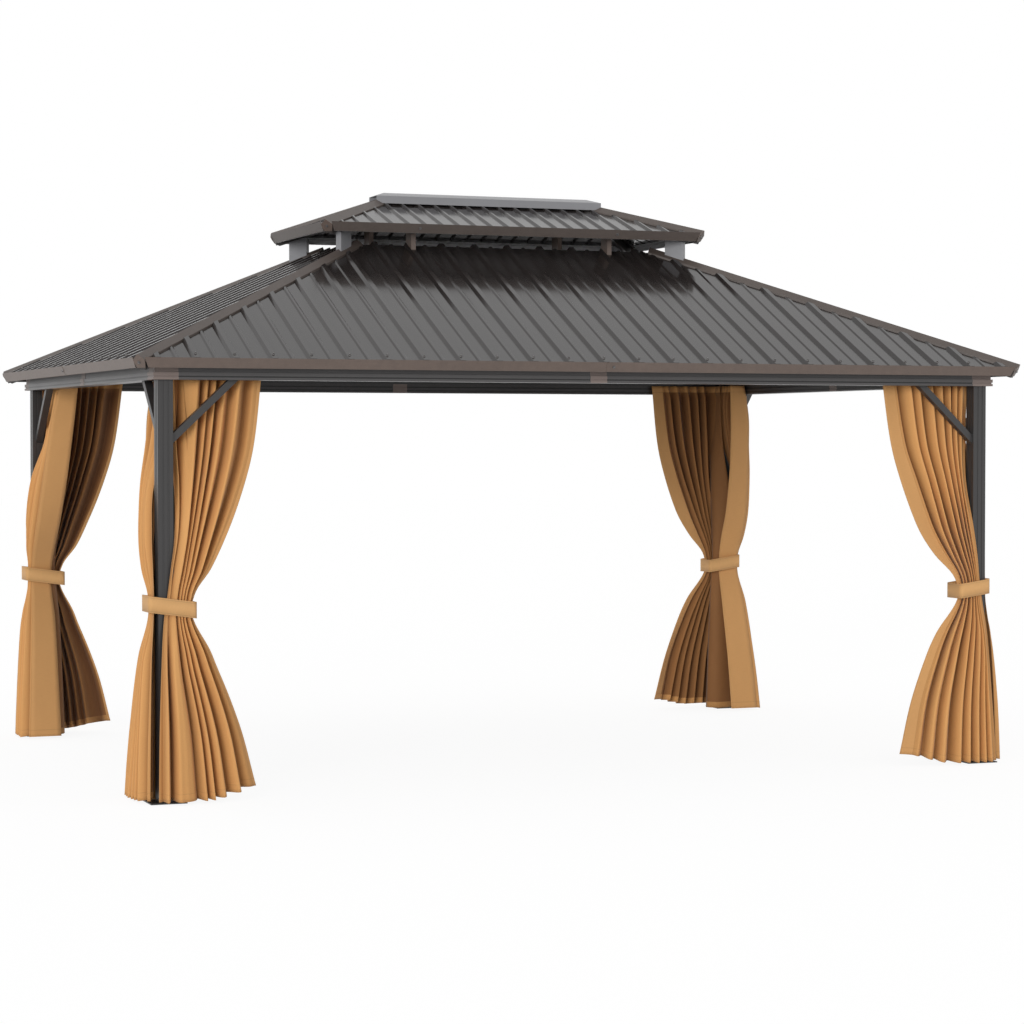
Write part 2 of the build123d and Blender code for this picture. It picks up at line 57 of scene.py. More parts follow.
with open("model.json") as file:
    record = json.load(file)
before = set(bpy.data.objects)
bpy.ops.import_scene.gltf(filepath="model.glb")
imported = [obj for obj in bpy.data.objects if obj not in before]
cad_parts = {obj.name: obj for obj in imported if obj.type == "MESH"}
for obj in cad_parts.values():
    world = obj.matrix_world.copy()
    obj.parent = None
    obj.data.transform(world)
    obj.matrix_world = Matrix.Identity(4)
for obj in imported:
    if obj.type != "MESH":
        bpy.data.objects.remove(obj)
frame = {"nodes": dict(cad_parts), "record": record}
CAD_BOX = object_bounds()
BODY = "root"
WHITE = (1, 1, 1, 1)
CORNERS = {"front_left": (-1, -1), "front_right": (1, -1), "back_right": (1, 1), "back_left": (-1, 1)}
SIDES = {"front": Vector((0, -1, 0)), "right": Vector((1, 0, 0)), "back": Vector((0, 1, 0)),
         "left": Vector((-1, 0, 0))}
POST_CENTRE = sum(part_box("post_back_right"), Vector()) / 2
HEADER_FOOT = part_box("header_front")[0].z
CURTAIN_FOOT, CURTAIN_HEAD = (corner.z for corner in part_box("curtain_front_left"))
TIE_FOOT, TIE_HEAD = (corner.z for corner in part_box("curtain_tiebacks"))

# An upper fascia's foot lies further in than its head by its lean. Its outer coat reaches in by its skin.
FASCIA_LEAN = 0.020
FASCIA_SKIN = 0.0012
# A header's outer groove, from its underside up. The grooves inside follow at a pitch, as shares of it.
HEADER_GROOVE = (0.012, 0.019)
RIDGE_PITCH = 0.022
RIDGE_GROOVE_SHARES = (0.5, 0.818)
# Painted shade on the headers: how dark the paint is in a groove, and how much of that painted shade lies on
# the inner face of a header.
GROOVE_SHADE_SHARE = 0.15
INNER_SHADE_SHARE = 0.4
TRIM_ROUGHNESS = 0.48
# Radius at the top of a washer or screw head, as a share of the one at its foot.
SCREW_TOP_SHARE = 0.9

# Cloth: the wave scale of its threads, half the width of a stitched line, and its inset on a tie band.
THREAD_SCALE = 170.0
CURTAIN_STITCH = 0.0012
TIE_STITCH = 0.0010
TIE_STITCH_INSET = 0.008
# Painted light on the folds: where on a fold the painted highlight of the crest begins, and what the painted
# shade of a deep crease leaves of red, green and blue.
HIGHLIGHT_START_SHARE = 0.35
CREASE_SHADE_SHARES = (0.34, 0.26, 0.17)

# Folds: the least depth for their width and beside the post, and where they run out before the leading hem.
LEAST_FOLD_SHARE = 0.2
POST_FOLD_SHARE = 0.12
FOLDS_END_SHARE = 0.92
# Heights from the middle of the tie bands: up to the first a panel is held, from the second it hangs free.
TIE_HOLD = (0.03, 0.35)
# Heights from the underside of the headers, between which the pinch of the heading grows to its full.
PINCH_RISE = (-0.005, 0.020)
# From where across a panel its foot rises to the leading edge, and the mesh columns in its hem.
LIFT_START_SHARE = 0.5
HEM_COLUMNS = 6

# The leading hem of a panel: its width, and that width as a share of the widest hem on its side.
Hem = namedtuple("Hem", "width shown")

# Plan lines of a curtain panel at chosen heights, in metres. Each row holds a height, four places given as
# (inward along X, inward along Y) from the post's centre, the deepest fold there and the share of the folds
# that lies thin beside the post. The four places are the trailing edge, the middle and end of the folds, and
# the leading edge.
LONG_SIDE_LINES = (
    (2.104, (0.012, 0.066), (0.245, 0.076), (0.455, 0.074), (0.525, 0.070), 0.032, 0.10),
    (1.740, (0.034, 0.053), (0.215, 0.066), (0.400, 0.055), (0.478, 0.050), 0.034, 0.12),
    (1.530, (0.051, 0.012), (0.180, 0.032), (0.335, 0.036), (0.422, 0.036), 0.034, 0.16),
    (1.290, (0.040, -0.046), (0.130, -0.004), (0.245, 0.030), (0.330, 0.022), 0.034, 0.24),
    (1.127, (0.018, -0.054), (0.092, -0.022), (0.176, 0.012), (0.240, 0.016), 0.030, 0.40),
    (1.010, (0.004, -0.052), (0.066, -0.036), (0.124, -0.010), (0.148, -0.002), 0.020, 0.55),
    (0.890, (-0.014, -0.052), (0.058, -0.040), (0.112, -0.014), (0.130, -0.014), 0.020, 0.55),
    (0.700, (-0.032, -0.080), (0.086, -0.070), (0.200, -0.032), (0.240, -0.020), 0.032, 0.25),
    (0.346, (-0.050, -0.106), (0.147, -0.098), (0.336, -0.050), (0.379, -0.020), 0.038, 0.12),
    (0.018, (-0.061, -0.132), (0.175, -0.122), (0.404, -0.066), (0.462, -0.028), 0.040, 0.10),
)
SHORT_SIDE_LINES = (
    (2.104, (0.070, 0.048), (0.078, 0.235), (0.058, 0.412), (0.160, 0.412), 0.030, 0.10),
    (1.900, (0.042, 0.048), (0.068, 0.215), (0.010, 0.378), (0.143, 0.386), 0.028, 0.12),
    (1.740, (0.032, 0.050), (0.036, 0.195), (-0.008, 0.345), (0.129, 0.358), 0.026, 0.14),
    (1.530, (-0.036, 0.049), (-0.024, 0.165), (-0.028, 0.296), (0.112, 0.304), 0.030, 0.18),
    (1.290, (-0.056, 0.010), (-0.054, 0.110), (-0.048, 0.230), (0.092, 0.210), 0.028, 0.24),
    (1.127, (-0.058, -0.016), (-0.060, 0.066), (-0.056, 0.150), (0.077, 0.112), 0.022, 0.40),
    (1.010, (-0.058, -0.026), (-0.060, 0.030), (-0.056, 0.086), (0.068, 0.062), 0.007, 0.55),
    (0.890, (-0.060, -0.028), (-0.062, 0.024), (-0.056, 0.080), (0.066, 0.056), 0.007, 0.55),
    (0.700, (-0.072, -0.044), (-0.082, 0.046), (-0.068, 0.147), (0.074, 0.120), 0.024, 0.25),
    (0.346, (-0.083, -0.066), (-0.104, 0.070), (-0.088, 0.227), (0.075, 0.208), 0.032, 0.12),
    (0.018, (-0.088, -0.079), (-0.120, 0.085), (-0.104, 0.274), (0.078, 0.272), 0.036, 0.10),
)
# The flat trailing hem of a short side panel, which passes round the post's inner corner: a height, then one
# edge, the middle and the other edge.
TRAILING_HEM_LINES = (
    (2.104, (0.106, 0.150), (0.110, 0.105), (0.108, 0.060)),
    (1.740, (0.085, 0.150), (0.112, 0.100), (0.126, 0.040)),
    (1.290, (0.015, 0.140), (0.098, 0.098), (0.111, 0.028)),
    (1.010, (0.002, 0.056), (0.060, 0.056), (0.094, 0.014)),
    (0.890, (0.002, 0.052), (0.060, 0.054), (0.102, 0.014)),
    (0.700, (-0.030, 0.062), (0.072, 0.078), (0.118, 0.026)),
    (0.346, (-0.046, 0.062), (0.078, 0.092), (0.134, 0.030)),
    (0.018, (-0.050, 0.062), (0.082, 0.096), (0.145, 0.030)),
)
# How far the leading edge on the long side hangs from the common plan lines, and which corners show its hem.
SWAY = {"front_left": -0.012, "front_right": 0.020, "back_right": 0.030, "back_left": -0.026}
HEM_SHOWN = {"front_left": False, "front_right": True, "back_right": True, "back_left": False}
# From where to where, along X from the post's centre, the tie band of a corner reaches.
TIE_SPANS = {"front_left": (-0.092, 0.150), "front_right": (-0.060, 0.128), "back_right": (-0.072, 0.150),
             "back_left": (-0.092, 0.142)}


def colour(name, description, default):
    return FloatVectorProperty(name=name, description=description, subtype="COLOR", min=0, max=1,
                               default=default)


def length(name, description, default):
    return FloatProperty(name=name, description=description, unit="LENGTH", min=0, default=default)


def factor(name, description, default):
    return FloatProperty(name=name, description=description, subtype="FACTOR", min=0, max=1, default=default)


class GazeboColours(bpy.types.PropertyGroup):
    frame: colour("Frame", "Charcoal powder coat of posts and braces", (0.041, 0.039, 0.039))
    # The headers' charcoal is set lighter than the frame's: painted light.
    header: colour("Header", "Charcoal powder coat of the headers", (0.078, 0.074, 0.074))
    roof_frame: colour("Roof frame", "Dark brown coat of the rafters", (0.040, 0.034, 0.031))
    sheet: colour("Roof sheet", "Gloss paint of the ribbed sheets", (0.024, 0.020, 0.019))
    trim: colour("Trim", "Textured brown coat of the lower fascias and end plates", (0.126, 0.093, 0.077))
    # The hip caps and upper fascias take a darker copy of the trim brown: painted shade.
    cap: colour("Hip cap", "Darker brown coat of the hip caps and upper fascias", (0.085, 0.067, 0.058))
    inside: colour("Fascia inside", "Light grey primer inside the upper fascias", (0.780, 0.780, 0.790))
    fitting: colour("Fittings", "Taupe coat of header corners and splices", (0.215, 0.168, 0.150))
    ridge: colour("Ridge", "Light grey coat of ridge cap and vent posts", (0.255, 0.255, 0.268))
    cloth: colour("Curtain", "Tan curtain cloth", (0.650, 0.328, 0.110))
    # The hems take a lighter copy of the tan: painted light.
    hem: colour("Hem", "Doubled tan cloth of the hems", (0.760, 0.405, 0.150))
    # The inner side of the cloth takes a darker copy of the tan: painted shade inside the gazebo.
    shaded_lining: colour("Curtain inside", "Inner side of the curtain cloth", (0.310, 0.135, 0.040))
    tie: colour("Tie band", "Tan cloth of the tie bands", (0.690, 0.385, 0.152))
    screw: colour("Screw", "Dark coat of the screw heads", (0.130, 0.124, 0.122))


class GazeboCurtainSizes(bpy.types.PropertyGroup):
    thickness: length("Cloth", "Thickness of the curtain cloth", 0.0015)
    folds: IntProperty(name="Folds", description="Folds across one panel", min=2, default=7)
    half_fold: length("Half fold", "Width of cloth from a crest to a valley", 0.074)
    long_hem: length("Long side hem", "Width of the leading hem on the long sides", 0.085)
    narrow_hem: length("Narrow hem", "Width of a leading hem that is turned in", 0.020)
    short_hem: length("Short side hem", "Width of the hems on the short sides", 0.138)
    scallop: length("Scallop", "Drop of the fold crests along the foot", 0.005)
    lift: length("Lift", "Rise of the foot at the leading edge on the long sides", 0.045)
    hem_drop: length("Hem drop", "How much lower the flat trailing hem hangs at its foot", 0.011)
    foot_hem: length("Foot hem", "Height of the hem along the bottom", 0.038)
    heading: length("Heading", "Height of the heading tape at the top", 0.040)
    pinch: factor("Pinch", "How much the heading tape flattens the folds", 0.60)
    unevenness: factor("Unevenness", "How much the folds differ from each other", 0.55)
    rows: IntProperty(name="Rows", description="Mesh rows from heading to foot", min=8, default=92)
    fold_columns: IntProperty(name="Columns", description="Mesh columns in a fold", min=6, default=14)
    tie_reach: length("Tie reach", "Reach of a tie band along the long side that the plan lines fit", 0.142)
    tie_front: length("Tie front", "Reach of a tie band outside the post along the short side", 0.066)
    tie_back: length("Tie back", "Reach of a tie band inside the post along the short side", 0.094)
    tie_room: length("Tie room", "Reach outside the post that a short side panel needs in a tie band", 0.072)
    tie_thickness: length("Tie band", "Thickness of a tie band", 0.0025)
    tie_round: length("Tie round", "Cut of a tie band at its corners", 0.022)
    tie_slope: factor("Tie slope", "Drop of the tie band for its length away from the post", 0.14)


class GazeboFastenerSizes(bpy.types.PropertyGroup):
    rib_pitch: length("Rib pitch", "Distance between the tall ribs of a lower sheet", 0.194)
    eave_inset: length("Eave inset", "Distance of the roof screws from the outer face of the fascia", 0.054)
    hip_clear: length("Hip clearance", "Length along an eave without screws beside the hip", 0.150)
    post_place: length("Vent post", "Distance of the vent side posts from the middle of the roof", 0.582)
    washer: length("Washer", "Radius of a sealing washer", 0.0085)
    washer_height: length("Washer height", "Height of a sealing washer", 0.0025)
    head: length("Head", "Radius of a hexagon head", 0.0052)
    head_height: length("Head height", "Height of a hexagon head", 0.0055)
    lap_start: length("Lap start", "Reach of the lap plate to the left of a fascia seam", 0.004)
    lap_end: length("Lap end", "Reach of the lap plate to the right of a fascia seam", 0.058)
    lap_edge: length("Lap edge", "Edge of the fascia that a lap plate leaves free", 0.003)
    lap_thickness: length("Lap thickness", "Thickness of a lap plate", 0.0015)
    lap_screw: length("Lap screw", "Distance of the lap screw from the seam", 0.035)


class GazeboStudio(bpy.types.PropertyGroup):
    camera_place: FloatVectorProperty(name="Camera", description="Place of the camera", subtype="TRANSLATION",
                                      unit="LENGTH", default=(-5.3044, -14.1427, 1.7657))
    camera_aim: FloatVectorProperty(name="Aim", description="Turn of the camera", subtype="EULER",
                                    unit="ROTATION", default=(math.radians(88.41), 0, math.radians(-21.11)))
    camera_lens: FloatProperty(name="Lens", description="Focal length in millimetres", min=1, default=93.08)
    floor_size: length("Floor", "Width of the pale floor", 120)
    floor_paint: colour("Floor paint", "Matt paint of the pale floor", (0.8, 0.8, 0.8))
    floor_lift: factor("Floor white", "Share of the floor that shows plain white", 0.84)
    floor_white: FloatProperty(name="White level", description="Strength of the white that the floor shows",
                               min=0, default=1.08)
    sky: FloatProperty(name="Sky", description="Strength of the light from all round", min=0, default=0.66)
    key: FloatProperty(name="Key", description="Strength of the soft key light", min=0, default=1.55)
    key_from: FloatVectorProperty(name="Key from", description="Direction that the key light comes from",
                                  subtype="DIRECTION", default=(-0.58, -0.80, 0.10))
    key_softness: FloatProperty(name="Key softness", description="Angle that the key light fills",
                                subtype="ANGLE", min=0, default=math.radians(26))


class Value:
    """A shader socket that takes part in Python arithmetic."""

    def __init__(self, finish, socket):
        self.finish = finish
        self.socket = socket

    def math(self, operation, first, second=0.0):
        return self.finish.node("ShaderNodeMath", {"operation": operation}, {0: first, 1: second})

    def __add__(self, other):
        return self.math("ADD", self, other)

    def __sub__(self, other):
        return self.math("SUBTRACT", self, other)

    def __rsub__(self, other):
        return self.math("SUBTRACT", other, self)

    def __mul__(self, other):
        return self.math("MULTIPLY", self, other)

    def __truediv__(self, other):
        return self.math("DIVIDE", self, other)

    def __gt__(self, other):
        return self.math("GREATER_THAN", self, other)

    def __lt__(self, other):
        return self.math("LESS_THAN", self, other)

    def __abs__(self):
        return self.math("ABSOLUTE", self)

    def larger(self, other):
        return self.math("MAXIMUM", self, other)

    def fraction(self):
        return self.math("FRACT", self)

    __radd__ = __add__
    __rmul__ = __mul__


class Finish:
    """The nodes of a new material or world, with one method that adds them."""

    def __init__(self, owner):
        self.owner = owner
        owner.use_nodes = True
        self.tree = owner.node_tree
        self.tree.nodes.clear()

    def node(self, kind, settings=None, values=None, output=0):
        made = self.tree.nodes.new(kind)
        for key, value in (settings or {}).items():
            setattr(made, key, value)
        for key, value in (values or {}).items():
            if isinstance(value, Value):
                self.tree.links.new(value.socket, made.inputs[key])
            else:
                made.inputs[key].default_value = value
        return Value(self, made.outputs[output]) if made.outputs else made

    def place(self, scale=(1, 1, 1), source="Object"):
        """Object or UV coordinates, stretched."""
        spot = self.node("ShaderNodeTexCoord", output=source)
        return self.node("ShaderNodeMapping", {}, {"Vector": spot, "Scale": scale})

    def axes(self, spot):
        """The three numbers of a place."""
        split = self.node("ShaderNodeSeparateXYZ", {}, {0: spot})
        return [Value(self, socket) for socket in split.socket.node.outputs]

    def speckle(self, spot, scale, detail=2.0):
        return self.node("ShaderNodeTexNoise", {}, {"Vector": spot, "Scale": scale, "Detail": detail})

    def threads(self, spot, direction):
        return self.node("ShaderNodeTexWave", {"bands_direction": direction},
                         {"Vector": spot, "Scale": THREAD_SCALE})

    def between(self, share, first, second):
        """Colour from the first to the second as the share goes from 0 to 1."""
        return self.node("ShaderNodeMix", {"data_type": "RGBA"}, {0: share, 6: first, 7: second}, output=2)

    def vary(self, tone, rgb, spread):
        """A colour that goes darker and lighter by a share as the tone goes from 0 to 1."""
        return self.between(tone, shade(rgb, 1 - spread), shade(rgb, 1 + spread))

    def bump(self, height, strength, distance):
        return self.node("ShaderNodeBump", {}, {"Height": height, "Strength": strength, "Distance": distance})

    def surface(self, **values):
        sockets = {key.replace("_", " "): value for key, value in values.items()}
        shader = self.node("ShaderNodeBsdfPrincipled", {}, sockets)
        self.node("ShaderNodeOutputMaterial", {}, {"Surface": shader})
        return self.owner


# Finishes

def shade(rgb, share):
    return tuple(channel * share for channel in rgb) + (1,)


def new_finish(name):
    return Finish(bpy.data.materials.new(name))


def ring_depth(finish, spot, reach_x, reach_y):
    """How far inside a rectangular ring a place lies, and how high it is."""
    x, y, z = finish.axes(spot)
    return 0 - (abs(x) - reach_x).larger(abs(y) - reach_y), z


def header_painted_shade(finish, spot):
    """Mask of painted shade: 1 in the grooves of the headers, 0 on their outer faces and a share on their
    shaded inner faces.
    """
    low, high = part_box("header_front")
    inward, z = ring_depth(finish, spot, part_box("header_right")[1].x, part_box("header_back")[1].y)
    inside = inward > (high.y - low.y) / 2
    up = z - HEADER_FOOT
    outer = (up > HEADER_GROOVE[0]) * (up < HEADER_GROOVE[1])
    ridges = (up / RIDGE_PITCH).fraction()
    inner = (ridges > RIDGE_GROOVE_SHARES[0]) * (ridges < RIDGE_GROOVE_SHARES[1])
    return outer * (1 - inside) + (INNER_SHADE_SHARE + (1 - INNER_SHADE_SHARE) * inner) * inside


def fascia_inside(finish, spot):
    """1 behind the leaning front face of the upper fascias, 0 on it."""
    low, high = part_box("upper_fascias")
    inward, z = ring_depth(finish, spot, high.x, high.y)
    face = (high.z - z) * (FASCIA_LEAN / (high.z - low.z))
    return inward - face > FASCIA_SKIN


def powder_coat(name, rgb, roughness, streaks, grain=700.0, painted_shade=None):
    """Matt powder coat: fine grain in the bump and the colour, and faint drawn streaks along the bar.

    Streaks are scales along X, Y and Z. The optional rule gives the places that get painted shade, such as
    grooves and shaded faces.
    """
    finish = new_finish(name)
    spot = finish.place()
    fine = finish.speckle(spot, grain)
    cloud = finish.speckle(spot, scale=2.2, detail=4.0)
    drawn = finish.speckle(finish.place(streaks), scale=1.0, detail=3.0)
    paint = finish.vary(fine * 0.35 + cloud * 0.35 + drawn * 0.30, rgb, spread=0.28)
    # Painted shade: the paint goes darker where the rule says.
    if painted_shade:
        paint = finish.between(painted_shade(finish, spot), paint, shade(rgb, GROOVE_SHADE_SHARE))
    return finish.surface(Base_Color=paint, Roughness=roughness + 0.14 * (fine - 0.5) + 0.10 * (cloud - 0.5),
                          Normal=finish.bump(fine, strength=0.22, distance=0.0006))


def rolled_paint(name, rgb):
    """Gloss paint on rolled sheet: it mirrors the sky with a slight waviness."""
    finish = new_finish(name)
    spot = finish.place()
    wave = finish.speckle(spot, scale=2.6, detail=1.0)
    cloud = finish.speckle(spot, scale=1.3, detail=5.0)
    dust = finish.speckle(spot, scale=420.0)
    paint = finish.vary(cloud * 0.7 + dust * 0.3, rgb, spread=0.25)
    return finish.surface(Base_Color=paint, Roughness=0.10 + 0.05 * cloud + 0.03 * dust, IOR=1.47,
                          Normal=finish.bump(wave, strength=0.05, distance=0.010))


def sand_coat(name, rgb, roughness, primer=None):
    """Coat with a sandy, speckled texture. Inside the upper fascias it leaves a given primer bare."""
    finish = new_finish(name)
    spot = finish.place()
    sand = finish.speckle(spot, scale=260.0, detail=4.0)
    mottle = finish.speckle(spot, scale=24.0, detail=3.0)
    cloud = finish.speckle(spot, scale=2.7, detail=4.0)
    tone = sand * 0.45 + mottle * 0.30 + cloud * 0.25
    paint = finish.vary(tone, rgb, spread=0.55)
    if primer:
        bare = finish.vary(tone, primer, spread=0.15)
        paint = finish.between(fascia_inside(finish, spot), paint, bare)
    return finish.surface(Base_Color=paint, Roughness=roughness + 0.16 * (sand - 0.5),
                          Normal=finish.bump(sand, strength=0.35, distance=0.0012))


def tan_cloth(name, rgb, facing, colours, sizes, flat_width, height, hem_width):
    """Woven cloth on its own UV map, in metres: threads, slubs, hems on three sides, stitches, painted shade
    in the creases and a painted highlight on the crests.

    Facing is 1 for the outer side of the folds and -1 for the inner side.
    """
    finish = new_finish(name)
    spot = finish.place(source="UV")
    across, up, _ = finish.axes(spot)
    threads = finish.threads(spot, "X") * 0.5 + finish.threads(spot, "Y") * 0.5
    slub = finish.speckle(finish.place((30, 420, 1), "UV"), scale=1.0, detail=3.0)
    slack = finish.speckle(finish.place((9, 3, 1), "UV"), scale=1.0, detail=4.0)
    hem_line, foot_line, head_line = flat_width - hem_width, sizes.foot_hem, height - sizes.heading
    seam = abs(across - hem_line) < CURTAIN_STITCH
    for line in (foot_line, head_line):
        seam = seam.larger(abs(up - line) < CURTAIN_STITCH)
    ends = (up < foot_line).larger(up > head_line)
    tone = threads * 0.18 + slub * 0.42 + slack * 0.40
    plain = finish.vary(tone, rgb, spread=0.20)
    ended = finish.vary(tone, colours.cloth, spread=0.20)
    # Painted light: the hems get the lighter hem colour.
    lit_hem = finish.vary(tone, colours.hem, spread=0.16)
    dyed = finish.between(across > hem_line, finish.between(ends, plain, ended), lit_hem)
    sewn = finish.between(seam * 0.35, dyed, shade(rgb, 0.45))
    # Painted shade in the creases and a painted highlight on the crests of the folds, read from the fold
    # attribute.
    fold = finish.node("ShaderNodeAttribute", {"attribute_name": "fold"}, output="Fac") * facing
    crease = ((HIGHLIGHT_START_SHARE - fold) / (1 + HIGHLIGHT_START_SHARE)).larger(0)
    crest = ((fold - HIGHLIGHT_START_SHARE) / (1 - HIGHLIGHT_START_SHARE)).larger(0)
    highlighted = finish.between(crest * 0.40, sewn, shade(rgb, 1.35))
    crease_shade = tuple(share * channel for share, channel in zip(CREASE_SHADE_SHARES, rgb)) + (1,)
    creased = finish.between(crease * 0.95, highlighted, crease_shade)
    relief = finish.bump(threads * 0.5 + slub * 0.4 - seam * 2.0, strength=0.30, distance=0.0010)
    return finish.surface(Base_Color=creased, Roughness=0.86 - 0.10 * slub, Normal=relief, Sheen_Weight=0.12,
                          Sheen_Roughness=0.5)


def tie_cloth(name, rgb, band_height):
    """Doubled tan cloth with a stitched line along both edges of the band."""
    finish = new_finish(name)
    spot = finish.place(source="UV")
    _, up, _ = finish.axes(spot)
    warp = finish.threads(spot, "X")
    slub = finish.speckle(finish.place((420, 30, 1), "UV"), scale=1.0, detail=3.0)
    slack = finish.speckle(finish.place((12, 12, 1), "UV"), scale=1.0, detail=3.0)
    low_line, high_line = TIE_STITCH_INSET, band_height - TIE_STITCH_INSET
    seam = (abs(up - low_line) < TIE_STITCH).larger(abs(up - high_line) < TIE_STITCH)
    dyed = finish.vary(warp * 0.2 + slub * 0.4 + slack * 0.4, rgb, spread=0.16)
    sewn = finish.between(seam * 0.4, dyed, shade(rgb, 0.5))
    relief = finish.bump(warp * 0.4 + slub * 0.4 - seam * 1.6, strength=0.30, distance=0.0010)
    return finish.surface(Base_Color=sewn, Roughness=0.84 - 0.08 * slub, Normal=relief, Sheen_Weight=0.12,
                          Sheen_Roughness=0.5)


def screw_coat(name, rgb):
    """Dark zinc coat that is worn lighter in spots."""
    finish = new_finish(name)
    worn = finish.speckle(finish.place(), scale=320.0, detail=4.0)
    coat = finish.between(worn, shade(rgb, 0.5), shade(rgb, 2.0))
    return finish.surface(Base_Color=coat, Roughness=0.30 + 0.25 * worn, Metallic=0.6)


def paint_metal(colours):
    """One finish for each metal slot of the record, given to the nodes that carry the slot."""
    finishes = {
        "frame_charcoal": powder_coat("charcoal_powder_coat", colours.frame, 0.38, (55, 55, 0.7)),
        "roof_frame": powder_coat("rafter_powder_coat", colours.roof_frame, 0.55, (8, 8, 8)),
        "roof_sheet": rolled_paint("rolled_sheet_paint", colours.sheet),
        "brown_trim": sand_coat("brown_sand_coat", colours.trim, TRIM_ROUGHNESS),
        "taupe_fitting": powder_coat("taupe_powder_coat", colours.fitting, 0.46, (9, 9, 9)),
        "ridge_grey": powder_coat("ridge_powder_coat", colours.ridge, 0.34, (0.8, 40, 40), grain=900.0),
    }
    # The headers take a lighter charcoal (painted light), with painted shade in their grooves and on their
    # inner faces.
    header = powder_coat("header_painted_light_and_shade_coat", colours.header, 0.38, (9, 9, 9), painted_shade=header_painted_shade)
    # Painted shade: the hip caps and upper fascias use the darker copy of the trim brown.
    shaded_hip_cap = sand_coat("shaded_hip_cap_sand_coat", colours.cap, 0.44)
    shaded_upper_fascia = sand_coat("shaded_upper_fascia_sand_coat", colours.cap, TRIM_ROUGHNESS, colours.inside)
    special = {f"header_{side}": header for side in SIDES}
    special |= {"lower_hip_caps": shaded_hip_cap, "upper_hip_caps": shaded_hip_cap, "upper_fascias": shaded_upper_fascia}
    for part in frame["record"]["subparts"]:
        if part["material_slot"] not in finishes:
            continue
        finish = special.get(part["node"], finishes[part["material_slot"]])
        for holder in frame["nodes"][part["node"]].material_slots:
            holder.material = finish


# Pieces

def show_mesh(name, bm, material):
    """Turns a bmesh into an object of the scene."""
    mesh = bpy.data.meshes.new(name)
    bm.to_mesh(mesh)
    bm.free()
    mesh.materials.append(material)
    shown = bpy.data.objects.new(name, mesh)
    bpy.context.scene.collection.objects.link(shown)
    return shown


def add_piece(name, bm, material):
    """Turns a bmesh into a piece that rides on the gazebo."""
    piece = show_mesh(name, bm, material)
    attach(piece, BODY)
    return piece


def thicken(piece, name, thickness):
    """Gives cloth its thickness, behind the side that faces out."""
    skin = piece.modifiers.new(name, "SOLIDIFY")
    skin.thickness = thickness
    skin.offset = -1
    return skin


def faces_at(verts):
    return list({face for vert in verts for face in vert.link_faces})


def verts_among(geometry):
    return [item for item in geometry if isinstance(item, bmesh.types.BMVert)]


def at_corner(corner, place, z):
    """Point at a height and a plan place that is measured inward from the post of a corner."""
    sign_x, sign_y = CORNERS[corner]
    return sign_x * (POST_CENTRE.x - place.x), sign_y * (POST_CENTRE.y - place.y), z


def mirrored(corner):
    """-1 at a corner whose plan is a mirror image of the back right one, else 1."""
    return math.prod(CORNERS[corner])


# Curtains

def smooth(low, high, value):
    """0 up to the low value and 1 from the high one, with a soft rise between."""
    share = min(max((value - low) / (high - low), 0), 1)
    return share * share * (3 - 2 * share)


def plan_line(lines, height):
    """The plan places at a height, and the numbers after them, carried smoothly from row to row."""
    rows = [(row[0], [Vector(place) for place in row[1:5]] + list(row[5:])) for row in reversed(lines)]
    index = max(n for n, row in enumerate(rows[:-1]) if n == 0 or row[0] <= height)
    low, high = rows[index], rows[index + 1]
    before, after = rows[max(index - 1, 0)], rows[min(index + 2, len(rows) - 1)]
    step = high[0] - low[0]
    share = min(max((height - low[0]) / step, 0), 1)
    squared, cubed = share ** 2, share ** 3
    result = []
    for first, second, third, fourth in zip(before[1], low[1], high[1], after[1]):
        leave = (third - first) * (step / (high[0] - before[0]))
        reach = (fourth - second) * (step / (after[0] - low[0]))
        result.append(second * (2 * cubed - 3 * squared + 1) + leave * (cubed - 2 * squared + share)
                      + third * (3 * squared - 2 * cubed) + reach * (cubed - squared))
    return result


def along_arc(first, middle, last, share):
    """Place on the curve through three places."""
    return (first * (2 * share - 1) * (share - 1) + middle * 4 * share * (1 - share)
            + last * share * (2 * share - 1))


def folded_cloth(sizes):
    """Width of the flat cloth that goes into the folds of a panel."""
    return 2 * sizes.folds * sizes.half_fold


def fold_wave(turn):
    """Rounded on the outside and creased inside: 1 on a crest, -1 in a valley."""
    return 0.6 * (2 * abs(math.cos(turn / 2)) - 1) + 0.4 * math.cos(turn)


def fold_turn(share, height, sizes, seed):
    """Angle along the folds: no two are equally wide, and they drift a little on the way down."""
    spread = noise.noise(Vector((share * 3.0, 0.5, seed)))
    drift = noise.noise(Vector((share * 5.0, height * 0.4, seed + 4.5)))
    return 2 * math.pi * (sizes.folds * share + sizes.unevenness * (1.6 * spread + 0.6 * drift))


